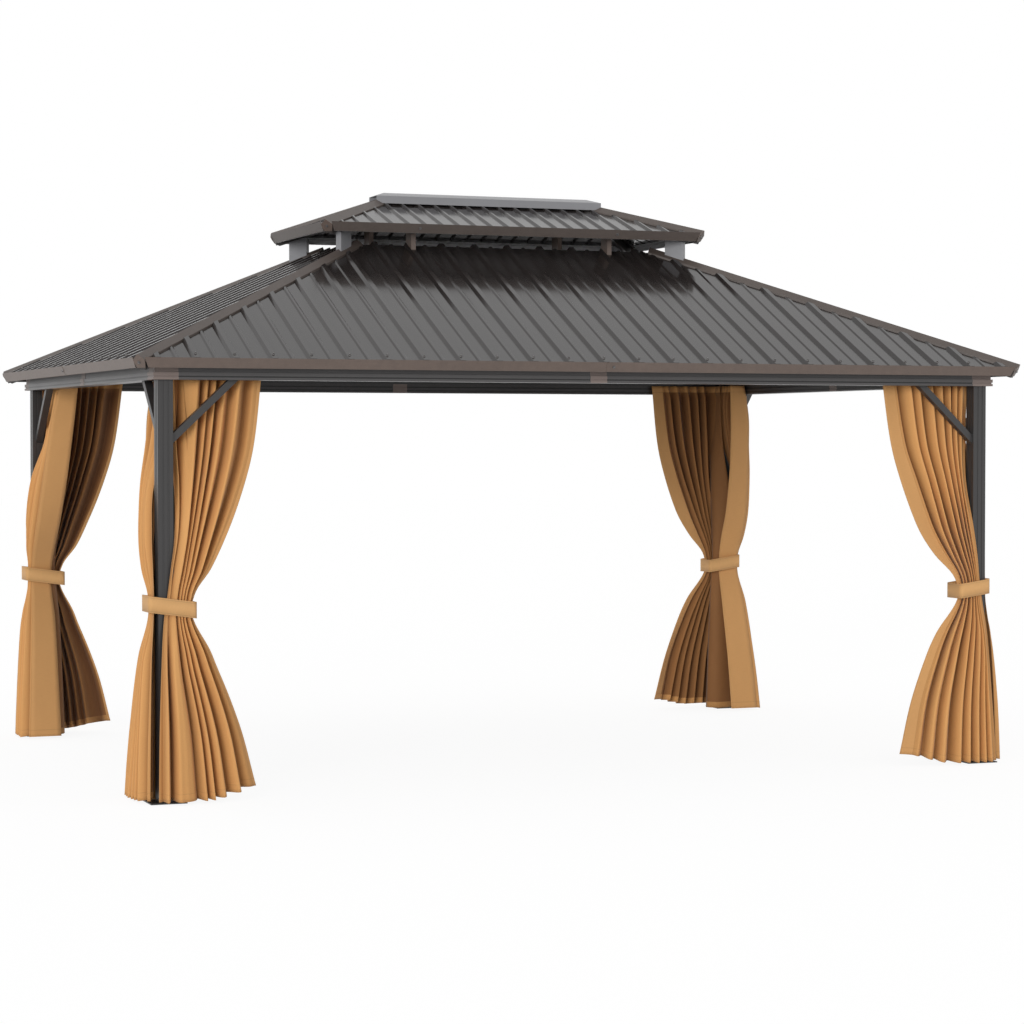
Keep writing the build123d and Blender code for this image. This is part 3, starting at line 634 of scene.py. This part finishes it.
def panel_place(lines, sizes, seed, outward, hem, corner, across, height):
    """Plan place of one point of a panel, and its fold: 1 on an outer crest, -1 in an outer crease.

    Across runs in metres of cloth from the trailing edge.
    """
    trailing, middle, folded, leading, deepest, thin = plan_line(lines, height)
    tied = 1 - smooth(*TIE_HOLD, abs(height - (TIE_FOOT + TIE_HEAD) / 2))
    if lines is LONG_SIDE_LINES:
        sway = SWAY[corner] * (1 - tied) + (TIE_SPANS[corner][1] - sizes.tie_reach) * tied
        middle.x += sway / 2
        folded.x += sway
        leading.x += sway
    else:
        pull = Vector((max(TIE_SPANS[corner][0] + sizes.tie_room, 0) * tied, 0))
        trailing, middle, folded = trailing + pull, middle + pull, folded + pull
    folded = leading.lerp(folded, hem.shown)
    folded_width = folded_cloth(sizes)
    if across > folded_width:
        return folded.lerp(leading, (across - folded_width) / hem.width), 0
    share = across / folded_width
    centre = along_arc(trailing, middle, folded, share)
    along = trailing * (4 * share - 3) + middle * (4 - 8 * share) + folded * (4 * share - 1)
    half_pitch = along.length / sizes.folds / 2
    least = LEAST_FOLD_SHARE * sizes.half_fold
    depth = math.sqrt(max(sizes.half_fold ** 2 - half_pitch ** 2, least ** 2)) / 2
    depth = min(depth, deepest) * max(smooth(0, thin, share), POST_FOLD_SHARE)
    depth *= 1 - smooth(FOLDS_END_SHARE, 1, share)
    depth *= 1 - sizes.pinch * smooth(*PINCH_RISE, height - HEADER_FOOT)
    depth *= 1 + sizes.unevenness * noise.noise(Vector((share * 9.0, height * 0.6, seed + 9.0)))
    side = Vector((along.y, -along.x)).normalized() * outward
    fold = fold_wave(fold_turn(share, height, sizes, seed))
    return centre + side * depth * fold, fold * min(depth / deepest, 1)


def hang_grid(bm, corner, outward, columns, rows, hung):
    """A grid of cloth, hung by a rule that gives plan place, height, place on the flat cloth and fold."""
    fold_layer = bm.verts.layers.float["fold"]
    uv_layer = bm.loops.layers.uv["cloth"]
    cut = {}
    for vert in bmesh.ops.create_grid(bm, x_segments=columns, y_segments=rows, size=0.5)["verts"]:
        place, z, cut[vert], vert[fold_layer] = hung(vert.co.x + 0.5, vert.co.y + 0.5)
        vert.co = at_corner(corner, place, z)
    faces = faces_at(cut)
    for face in faces:
        face.smooth = True
        for loop in face.loops:
            loop[uv_layer].uv = cut[loop.vert]
    if mirrored(corner) * outward < 0:
        bmesh.ops.reverse_faces(bm, faces=faces)


def curtain_panel(name, corner, lines, outward, hem, lift, sizes, colours, seed):
    """One pleated panel with a leading hem. A short side panel also has its flat trailing hem."""
    height = CURTAIN_HEAD - CURTAIN_FOOT
    folded_width = folded_cloth(sizes)
    flat_width = folded_width + hem.width
    columns = sizes.folds * sizes.fold_columns + HEM_COLUMNS
    column_share = 1 - HEM_COLUMNS / columns

    def folds(column, row):
        if column <= column_share:
            across = column / column_share * folded_width
        else:
            across = folded_width + (column - column_share) / (1 - column_share) * hem.width
        z = CURTAIN_FOOT + row * height
        place, fold = panel_place(lines, sizes, seed, outward, hem, corner, across, z)
        raised = lift * smooth(LIFT_START_SHARE, 1, across / flat_width) * (1 - row) ** 3
        raised -= sizes.scallop * fold * (1 - row) ** 6
        return place, z + raised, Vector((across, row * height)), fold

    def trailing(column, row):
        z = CURTAIN_FOOT + row * height
        place = along_arc(*plan_line(TRAILING_HEM_LINES, z), column)
        return place, z - sizes.hem_drop * (1 - row), Vector((column * hem.width, row * height)), 0

    bm = bmesh.new()
    bm.verts.layers.float.new("fold")
    bm.loops.layers.uv.new("cloth")
    hang_grid(bm, corner, outward, columns, sizes.rows, folds)
    # The inner side gets the darker lining colour, which is painted shade.
    cloth, shaded_lining = (tan_cloth(f"{name}_{layer}", rgb, facing, colours, sizes, flat_width, height, hem.width)
                     for layer, rgb, facing in (("cloth", colours.cloth, 1), ("shaded_lining", colours.shaded_lining, -1)))
    if lines is SHORT_SIDE_LINES:
        hang_grid(bm, corner, 1, 2 * HEM_COLUMNS, sizes.rows, trailing)
        flat_width += hem.width
    piece = add_piece(name, bm, cloth)
    piece.data.materials.append(shaded_lining)
    skin = thicken(piece, "cloth thickness", sizes.thickness)
    skin.material_offset = 1
    skin.use_even_offset = False
    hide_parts(f"curtain_{corner}")


def tie_band(name, corner, sizes, material):
    """Cloth band around the post and both panels, which drops towards the bay."""
    low = Vector((TIE_SPANS[corner][0], -sizes.tie_front))
    high = Vector((TIE_SPANS[corner][1], sizes.tie_back))
    height = TIE_HEAD - TIE_FOOT
    bm = bmesh.new()
    bmesh.ops.create_grid(bm, x_segments=1, y_segments=1, size=0.5)
    bmesh.ops.scale(bm, verts=bm.verts, vec=(high.x - low.x, high.y - low.y, 1))
    bmesh.ops.bevel(bm, geom=bm.verts[:], offset=sizes.tie_round, affect="VERTICES", segments=6, profile=0.5,
                    material=-1)
    bmesh.ops.delete(bm, geom=bm.faces[:], context="FACES_ONLY")
    around = sum(edge.calc_length() for edge in bm.edges)
    raised = bmesh.ops.extrude_edge_only(bm, edges=bm.edges[:])["geom"]
    bmesh.ops.translate(bm, verts=verts_among(raised), vec=(0, 0, height))
    bmesh.ops.recalc_face_normals(bm, faces=bm.faces)
    uv_layer = bm.loops.layers.uv.verify()
    for face in bm.faces:
        face.smooth = True
        middle = face.calc_center_median()
        turn = math.atan2(middle.y, middle.x)
        for loop in face.loops:
            spot = loop.vert.co
            ahead = Vector((middle.x, middle.y)).angle_signed(Vector((spot.x, spot.y)))
            loop[uv_layer].uv = ((turn - ahead) / (2 * math.pi) * around, spot.z)
    for vert in bm.verts:
        place = Vector((vert.co.x, vert.co.y)) + (low + high) / 2
        drop = sizes.tie_slope * vert.co.x
        vert.co = at_corner(corner, place, TIE_FOOT + vert.co.z - drop)
    if mirrored(corner) < 0:
        bmesh.ops.reverse_faces(bm, faces=bm.faces)
    piece = add_piece(name, bm, material)
    thicken(piece, "band thickness", sizes.tie_thickness)
    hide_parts("curtain_tiebacks")


# Screws and lap plates

def touch(node, start, aim):
    """Place and direction of the face that a ray meets on a CAD node."""
    hit, place, normal, _ = frame["nodes"][node].ray_cast(start, aim)
    if not hit:
        raise RuntimeError(f"no face of {node} lies on the ray from {tuple(start)}")
    return place, normal


def add_screw(bm, place, normal, sizes):
    """Hexagon head on a sealing washer, both a little narrower at the top, standing on a face."""
    stand = Matrix.Translation(place) @ normal.to_track_quat("Z", "Y").to_matrix().to_4x4()
    for radius, height, segments, foot in ((sizes.washer, sizes.washer_height, 12, 0),
                                           (sizes.head, sizes.head_height, 6, sizes.washer_height)):
        bmesh.ops.create_cone(bm, cap_ends=True, segments=segments, radius1=radius,
                              radius2=SCREW_TOP_SHARE * radius, depth=height,
                              matrix=stand @ Matrix.Translation((0, 0, foot + height / 2)))


def side_reach(node, out):
    """How far a node reaches along an outward direction."""
    low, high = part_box(node)
    return max(abs(low.dot(out)), abs(high.dot(out)))


def roof_screws(bm, side, out, sizes):
    """One screw on each tall rib, along the lower edge of a sheet."""
    along = Vector((-out.y, out.x, 0))
    edge = side_reach(f"lower_fascia_{side}", out) - sizes.eave_inset
    reach = side_reach(f"lower_fascia_{side}", along) - sizes.eave_inset - sizes.hip_clear
    above = CAD_BOX[1].z
    count = int(reach / sizes.rib_pitch)
    for number in range(-count, count + 1):
        start = along * number * sizes.rib_pitch + out * edge
        add_screw(bm, *touch(f"lower_sheet_{side}", start + Vector((0, 0, above)), Vector((0, 0, -1))), sizes)


def trim_screws(bm, sizes):
    """Screws in the hip end plates and in the upper fascias above the vent side posts."""
    outside = CAD_BOX[1].length
    eaves = (("lower_fascia_front", "lower_fascia_right"), ("upper_fascias", "upper_fascias"))
    for long_side, short_side in eaves:
        low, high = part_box(long_side)
        reach = Vector((side_reach(short_side, SIDES["right"]), side_reach(long_side, SIDES["back"])))
        for sign_x, sign_y in CORNERS.values():
            aim = Vector((-sign_x, -sign_y, 0)).normalized()
            corner = Vector((sign_x * reach.x, sign_y * reach.y, (low.z + high.z) / 2))
            add_screw(bm, *touch("hip_end_plates", corner - aim * outside, aim), sizes)
    low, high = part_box("upper_fascias")
    for sign_x, sign_y in CORNERS.values():
        start = Vector((sign_x * sizes.post_place, sign_y * outside, (low.z + high.z) / 2))
        add_screw(bm, *touch("upper_fascias", start, Vector((0, -sign_y, 0))), sizes)


def lap_plate(bm, screws, side, out, sizes):
    """Thin plate over the seam of a lower fascia, and the screw that holds it."""
    node = f"lower_fascia_{side}"
    along = Vector((-out.y, out.x, 0))
    low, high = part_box(node)
    foot, head = low.z + sizes.lap_edge, high.z - sizes.lap_edge
    far = out * CAD_BOX[1].length
    plate = bmesh.ops.create_grid(bm, x_segments=1, y_segments=3, size=0.5)["verts"]
    for vert in plate:
        share = vert.co.x + 0.5
        spot = along * (share * sizes.lap_end - (1 - share) * sizes.lap_start)
        start = spot + far + Vector((0, 0, foot + (vert.co.y + 0.5) * (head - foot)))
        vert.co = touch(node, start, -out)[0]
    raised = bmesh.ops.extrude_face_region(bm, geom=faces_at(plate), use_keep_orig=True)["geom"]
    bmesh.ops.translate(bm, verts=verts_among(raised), vec=out * sizes.lap_thickness)
    start = along * sizes.lap_screw + far + Vector((0, 0, (foot + head) / 2))
    place, normal = touch(node, start, -out)
    add_screw(screws, place + out * sizes.lap_thickness, normal, sizes)


# Stage

def seen_rays(finish):
    """1 for what the camera, gloss and glass see, 0 for the light on the gazebo."""
    camera, gloss, glass = (finish.node("ShaderNodeLightPath", output=f"Is {kind} Ray")
                            for kind in ("Camera", "Glossy", "Transmission"))
    return camera.larger(gloss).larger(glass)


def floor_paint(name, studio):
    """Matt paint under plain white, so that the floor looks white and keeps the shadow."""
    finish = new_finish(name)
    matt = finish.node("ShaderNodeBsdfDiffuse", {}, {"Color": shade(studio.floor_paint, 1)})
    white = finish.node("ShaderNodeEmission", {}, {"Color": WHITE, "Strength": studio.floor_white})
    lift = seen_rays(finish) * studio.floor_lift
    shown = finish.node("ShaderNodeMixShader", {}, {0: lift, 1: matt, 2: white})
    finish.node("ShaderNodeOutputMaterial", {}, {"Surface": shown})
    return finish.owner


def lay_floor(studio):
    bm = bmesh.new()
    bmesh.ops.create_grid(bm, x_segments=1, y_segments=1, size=studio.floor_size / 2)
    floor = show_mesh("pale_floor", bm, floor_paint("pale_floor_paint", studio))


def light_sky(scene, studio):
    """Even light from all round, in surroundings that look plain white."""
    scene.world = bpy.data.worlds.new("studio")
    finish = Finish(scene.world)
    level = studio.sky + (1 - studio.sky) * seen_rays(finish)
    light = finish.node("ShaderNodeBackground", {}, {"Color": WHITE, "Strength": level})
    finish.node("ShaderNodeOutputWorld", {}, {"Surface": light})


def set_key(scene, studio):
    """One soft, low light from the front left."""
    lamp = bpy.data.lights.new("key", "SUN")
    lamp.energy = studio.key
    lamp.angle = studio.key_softness
    key = bpy.data.objects.new("key", lamp)
    key.rotation_euler = Vector(studio.key_from).to_track_quat("Z", "Y").to_euler()
    scene.collection.objects.link(key)


def set_camera(scene, studio):
    eye = bpy.data.cameras.new("photo_view")
    eye.lens = studio.camera_lens
    eye.clip_end = studio.floor_size
    camera = bpy.data.objects.new("photo_view", eye)
    camera.location = studio.camera_place
    camera.rotation_euler = Euler(studio.camera_aim)
    scene.collection.objects.link(camera)
    scene.camera = camera


# Operators

class GAZEBO_OT_metal(bpy.types.Operator):
    """Paint the frame, the roof and their fittings"""

    bl_idname = "gazebo.metal"
    bl_label = "Metal finishes"

    def execute(self, context):
        paint_metal(context.scene.gazebo_colours)
        return {"FINISHED"}


class GAZEBO_OT_fasteners(bpy.types.Operator):
    """Set the roof screws, the trim screws and the lap plates of the fascias"""

    bl_idname = "gazebo.fasteners"
    bl_label = "Screws and laps"

    def execute(self, context):
        sizes, colours = context.scene.gazebo_fasteners, context.scene.gazebo_colours
        context.view_layer.update()
        screws, laps = bmesh.new(), bmesh.new()
        for side, out in SIDES.items():
            roof_screws(screws, side, out, sizes)
            lap_plate(laps, screws, side, out, sizes)
        trim_screws(screws, sizes)
        bmesh.ops.recalc_face_normals(laps, faces=laps.faces)
        add_piece("roof_screws", screws, screw_coat("screw_coat", colours.screw))
        add_piece("fascia_laps", laps, sand_coat("lap_sand_coat", colours.trim, TRIM_ROUGHNESS))
        return {"FINISHED"}


class GAZEBO_OT_curtains(bpy.types.Operator):
    """Hang two pleated panels at each corner"""

    bl_idname = "gazebo.curtains"
    bl_label = "Curtains"

    def execute(self, context):
        scene = context.scene
        sizes, colours = scene.gazebo_curtains, scene.gazebo_colours
        for number, corner in enumerate(CORNERS):
            width = sizes.long_hem if HEM_SHOWN[corner] else sizes.narrow_hem
            long_hem = Hem(width, width / sizes.long_hem)
            short_hem = Hem(sizes.short_hem, 1)
            curtain_panel(f"long_side_curtain_{corner}", corner, LONG_SIDE_LINES, 1, long_hem, sizes.lift,
                          sizes, colours, seed=2 * number)
            curtain_panel(f"short_side_curtain_{corner}", corner, SHORT_SIDE_LINES, -1, short_hem, 0,
                          sizes, colours, seed=2 * number + 1)
        return {"FINISHED"}


class GAZEBO_OT_tie_bands(bpy.types.Operator):
    """Put a tie band around the curtains at each post"""

    bl_idname = "gazebo.tie_bands"
    bl_label = "Tie bands"

    def execute(self, context):
        scene = context.scene
        cloth = tie_cloth("tie_band_cloth", scene.gazebo_colours.tie, TIE_HEAD - TIE_FOOT)
        for corner in CORNERS:
            tie_band(f"tie_band_{corner}", corner, scene.gazebo_curtains, cloth)
        return {"FINISHED"}


class GAZEBO_OT_stage(bpy.types.Operator):
    """Set the pale floor, the soft light and the camera"""

    bl_idname = "gazebo.stage"
    bl_label = "Stage"

    def execute(self, context):
        scene = context.scene
        studio = scene.gazebo_studio
        lay_floor(studio)
        light_sky(scene, studio)
        set_key(scene, studio)
        set_camera(scene, studio)
        scene.view_settings.view_transform = "Standard"
        return {"FINISHED"}


class GAZEBO_PT_sidebar(bpy.types.Panel):
    """Lists the steps that dress the gazebo"""

    bl_idname = "GAZEBO_PT_sidebar"
    bl_label = "Gazebo"
    bl_space_type = "VIEW_3D"
    bl_region_type = "UI"
    bl_category = "Gazebo"

    def draw(self, context):
        for step in STEPS:
            self.layout.operator(step.bl_idname)


STEPS = (GAZEBO_OT_metal, GAZEBO_OT_fasteners, GAZEBO_OT_curtains, GAZEBO_OT_tie_bands, GAZEBO_OT_stage)
GROUPS = {"gazebo_colours": GazeboColours, "gazebo_curtains": GazeboCurtainSizes,
          "gazebo_fasteners": GazeboFastenerSizes, "gazebo_studio": GazeboStudio}


def register():
    for name, group in GROUPS.items():
        bpy.utils.register_class(group)
        setattr(bpy.types.Scene, name, PointerProperty(type=group))
    for step in STEPS:
        bpy.utils.register_class(step)
    bpy.utils.register_class(GAZEBO_PT_sidebar)


def unregister():
    bpy.utils.unregister_class(GAZEBO_PT_sidebar)
    for step in reversed(STEPS):
        bpy.utils.unregister_class(step)
    for name, group in GROUPS.items():
        delattr(bpy.types.Scene, name)
        bpy.utils.unregister_class(group)


def main():
    register()
    bpy.ops.gazebo.metal()
    bpy.ops.gazebo.fasteners()
    bpy.ops.gazebo.curtains()
    bpy.ops.gazebo.tie_bands()
    bpy.ops.gazebo.stage()


if __name__ == "__main__":
    main()
